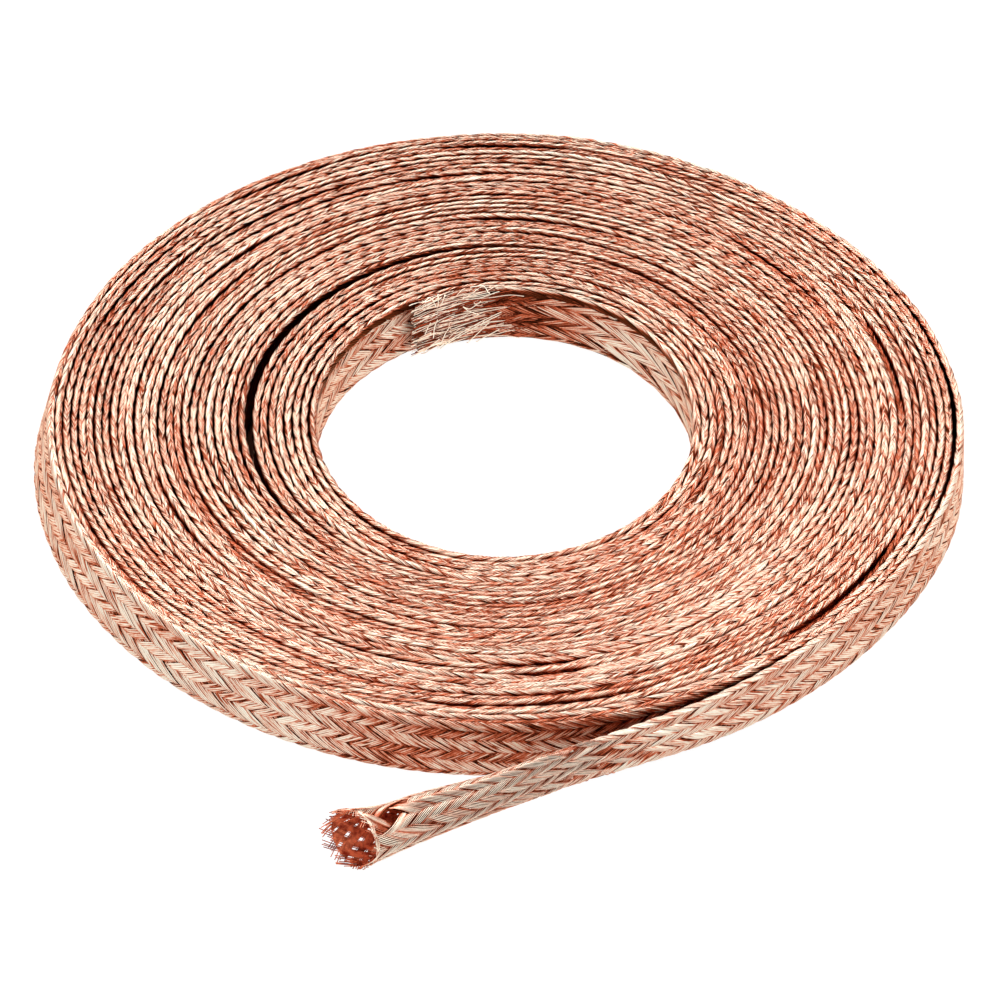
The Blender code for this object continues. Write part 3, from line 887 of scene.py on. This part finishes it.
def copperMaterial(name, deep, middle, pale, striped=False, hollow=False, glow=0):
    material = bpy.data.materials.new(name)
    material.use_nodes = True
    tree = material.node_tree
    shader = tree.nodes["Principled BSDF"]
    shader.inputs["Metallic"].default_value = 1.0
    shader.inputs["Specular Tint"].default_value = (*look["edgeTint"], 1)
    tone = joinNode(tree, "Attribute", {"attribute_name": "tone"}, "Fac")
    place = joinNode(tree, "TexCoord", {}, "Object")
    if striped:
        uv = joinNode(tree, "UVMap", {"uv_map": "strandUv"})
        across, along = look["streakStretch"]
        where = joinNode(tree, "Mapping", {"Vector": uv, "Scale": (look["wiresDrawn"] * across, along, 1)})
        noise = joinNode(tree, "TexNoise", {"Vector": where, "Scale": 1.0, "Detail": 3})
    else:
        noise = joinNode(tree, "TexNoise", {"Vector": place, "Scale": look["wireStreakScale"], "Detail": 3})
    streaks = tree.nodes.new("ShaderNodeGroup")
    streaks.node_tree = copperStreaks
    streaks.inputs["Amount"].default_value = look["streak"] if striped else look["wireStreak"]
    tree.links.new(tone, streaks.inputs["Tone"])
    tree.links.new(noise, streaks.inputs["Noise"])
    tree.links.new(streaks.outputs["Roughness"], shader.inputs["Roughness"])
    grade = streaks.outputs["Grade"]
    if striped:
        grade, ridge = strandPattern(tree, uv, place, grade)
        relief = joinNode(tree, "Bump", {"Distance": look["wireRelief"], "Height": ridge}, "Normal")
        tree.links.new(relief, shader.inputs["Normal"])
        brushed = joinNode(tree, "Tangent", {"direction_type": "UV_MAP", "uv_map": "strandUv"})
        tree.links.new(brushed, shader.inputs["Tangent"])
        shader.inputs["Anisotropic"].default_value = look["brushed"]
    ramp = tree.nodes.new("ShaderNodeValToRGB")
    ramp.color_ramp.elements[0].color = (*look["paintedShadeCopper"], 1)
    ramp.color_ramp.elements[1].color = (*pale, 1)
    for stop, shade in zip(look["rampStops"], (deep, look["redCopper"], middle)):
        ramp.color_ramp.elements.new(stop).color = (*shade, 1)
    tree.links.new(grade, ramp.inputs["Fac"])
    tree.links.new(ramp.outputs["Color"], shader.inputs["Base Color"])
    if hollow:
        paintInsideLight(tree, shader, noise, ramp.outputs["Color"])
    # painted light: the frayed wires glow a little in their own colour
    if glow:
        tree.links.new(ramp.outputs["Color"], shader.inputs["Emission Color"])
        shader.inputs["Emission Strength"].default_value = glow
    return material


# the studio

studio = {
    "lens": 1000,
    "elevation": 41,
    "metresPerPixel": 0.0001444,
    "pixels": 1001,
    "holePixel": (507, 470.3),
    "keyStrength": 2.6,
    "skyLow": 0.62,
    "skyHigh": 1.00,
    "floorGrey": 0.9,
    "floorRough": 0.9,
    # how bright the floor is to the camera and in reflections, and how much of that is mixed in
    "floorGlow": 1.12,
    "floorGlowShare": 0.85,
    "floorHeight": -0.00005,
    "shadeColour": (0.16, 0.045, 0.02),
    "shadeHeight": -0.00003,
    # lamps: place, size, strength over the key strength
    "keyLamp": ((-0.4, 0.9, 1.1), (1.5, 0.9), 5),
    "sideLamp": ((1.0, 0.1, 0.8), (0.6, 0.9), 2),
    "sensorWidth": 36,
}


def floorMaterial():
    material = bpy.data.materials.new("paleFloor")
    material.use_nodes = True
    tree = material.node_tree
    shader = tree.nodes["Principled BSDF"]
    shader.inputs["Roughness"].default_value = studio["floorRough"]
    shader.inputs["Base Color"].default_value = (*(studio["floorGrey"],) * 3, 1)
    glow = joinNode(tree, "Emission", {"Strength": studio["floorGlow"]})
    rays = tree.nodes.new("ShaderNodeLightPath").outputs
    seen = mathNode(tree, "MAXIMUM", rays["Is Camera Ray"], rays["Is Glossy Ray"])
    share = mathNode(tree, "MULTIPLY", seen, studio["floorGlowShare"])
    mixed = joinNode(tree, "MixShader", {"Fac": share, 1: shader.outputs["BSDF"], 2: glow})
    tree.links.new(mixed, tree.nodes["Material Output"].inputs["Surface"])
    return material


def shadeUnderRoll():
    # a flat dark ring from the first turn's middle to the last one's: no light comes down between the turns
    around = np.linspace(0, 1, 181)
    leaves = (roll["innerEndAngle"] - roll["leaveAngle"]) / 360
    edges = around, around + roll["turns"] - (around >= leaves)
    places = [turnEnd(turns) for turns in edges]
    points = []
    for place in places:
        # it keeps back where the tail's lower edge stands off the floor
        back = 1.2 * onBraid("raise", place)
        x = onBraid("x", place) - back * onBraid("outX", place)
        y = onBraid("y", place) - back * onBraid("outY", place)
        points.append(np.stack((x, y, np.full(len(place), studio["shadeHeight"])), axis=-1))
    points = np.concatenate(points)
    count = len(around)
    corner = np.arange(count - 1)
    faces = np.stack((corner, corner + 1, corner + 1 + count, corner + count), axis=-1)
    flat = np.zeros(len(points))
    ring = meshObject("shadedFloor", points, faces, flat, flat, flat)
    material = bpy.data.materials.new("shadedFloor")
    material.use_nodes = True
    shader = material.node_tree.nodes["Principled BSDF"]
    shader.inputs["Base Color"].default_value = (*studio["shadeColour"], 1)
    shader.inputs["Roughness"].default_value = studio["floorRough"]
    ring.data.materials.append(material)


def setStudio():
    scene = bpy.context.scene
    scene.view_settings.view_transform = "Standard"
    holeX, holeY = roll["centre"]
    tilt = math.radians(studio["elevation"])
    middle = studio["pixels"] / 2
    target = Vector((
        holeX + (middle - studio["holePixel"][0]) * studio["metresPerPixel"],
        holeY - (middle - studio["holePixel"][1]) * studio["metresPerPixel"] / math.sin(tilt),
        0))
    distance = studio["lens"] / studio["sensorWidth"] * studio["metresPerPixel"] * studio["pixels"]
    camera = bpy.data.objects.new("camera", bpy.data.cameras.new("camera"))
    camera.data.lens = studio["lens"]
    camera.data.sensor_width = studio["sensorWidth"]
    camera.data.clip_end = 20
    camera.location = target + Vector((0, -math.cos(tilt), math.sin(tilt))) * distance
    camera.rotation_euler = (math.pi / 2 - tilt, 0, 0)
    scene.collection.objects.link(camera)
    scene.camera = camera

    bpy.ops.object.select_all(action="DESELECT")
    bpy.ops.mesh.primitive_plane_add(size=6, location=(0, 0, studio["floorHeight"]))
    floor = bpy.context.object
    floor.name = "floor"
    floor.data.materials.append(floorMaterial())
    shadeUnderRoll()

    for name in ("keyLamp", "sideLamp"):
        place, size, strength = studio[name]
        bpy.ops.object.light_add(type="AREA", location=place)
        lamp = bpy.context.object
        lamp.name = name.replace("Lamp", "Light")
        lamp.data.shape = "RECTANGLE"
        lamp.data.size, lamp.data.size_y = size
        lamp.data.energy = studio["keyStrength"] * strength
        lamp.rotation_euler = (-Vector(place)).to_track_quat("-Z", "Y").to_euler()

    world = bpy.data.worlds.new("studioWorld")
    world.use_nodes = True
    scene.world = world
    tree = world.node_tree
    backdrop = tree.nodes["Background"]
    backdrop.inputs["Color"].default_value = (1, 1, 1, 1)
    height = joinNode(tree, "SeparateXYZ", {"Vector": joinNode(tree, "TexCoord", {}, "Generated")}, "Z")
    grade = joinNode(tree, "MapRange", {"Value": height, "To Min": studio["skyLow"], "To Max": studio["skyHigh"]})
    seen = joinNode(tree, "LightPath", {}, "Is Camera Ray")
    tree.links.new(mathNode(tree, "MAXIMUM", grade, seen), backdrop.inputs["Strength"])


woven = weaveRoll()
print("roll woven")
walls = hiddenWalls()
freeEnd = weaveTail()
frayedEnd = frayInnerEnd()
print("free end and frayed end woven")
copperStreaks = streakGroup()
freshCopper = look["deepCopper"], look["midCopper"], look["paleCopper"]
strandCopper = copperMaterial("wovenCopper", *freshCopper, striped=True)
wireCopper = copperMaterial("copperWire", *freshCopper, glow=look["frayGlow"])
tubeCopper = copperMaterial("tubeCopper", *freshCopper, hollow=True)
# the strap walls down the gaps are drawn in the darkest copper all over: painted shade
shadedCopper = copperMaterial("shadedCopper", *[look["paintedShadeCopper"]] * 3)
for piece in woven:
    piece.data.materials.append(strandCopper)
walls.data.materials.append(shadedCopper)
freeEnd.data.materials.append(tubeCopper)
frayedEnd.data.materials.append(wireCopper)
for piece in woven + [walls, freeEnd, frayedEnd]:
    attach(piece, "root")
    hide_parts("copper_braid")
    print(piece.name, sum(len(face.vertices) - 2 for face in piece.data.polygons), "triangles")
setStudio()
print("studio set")
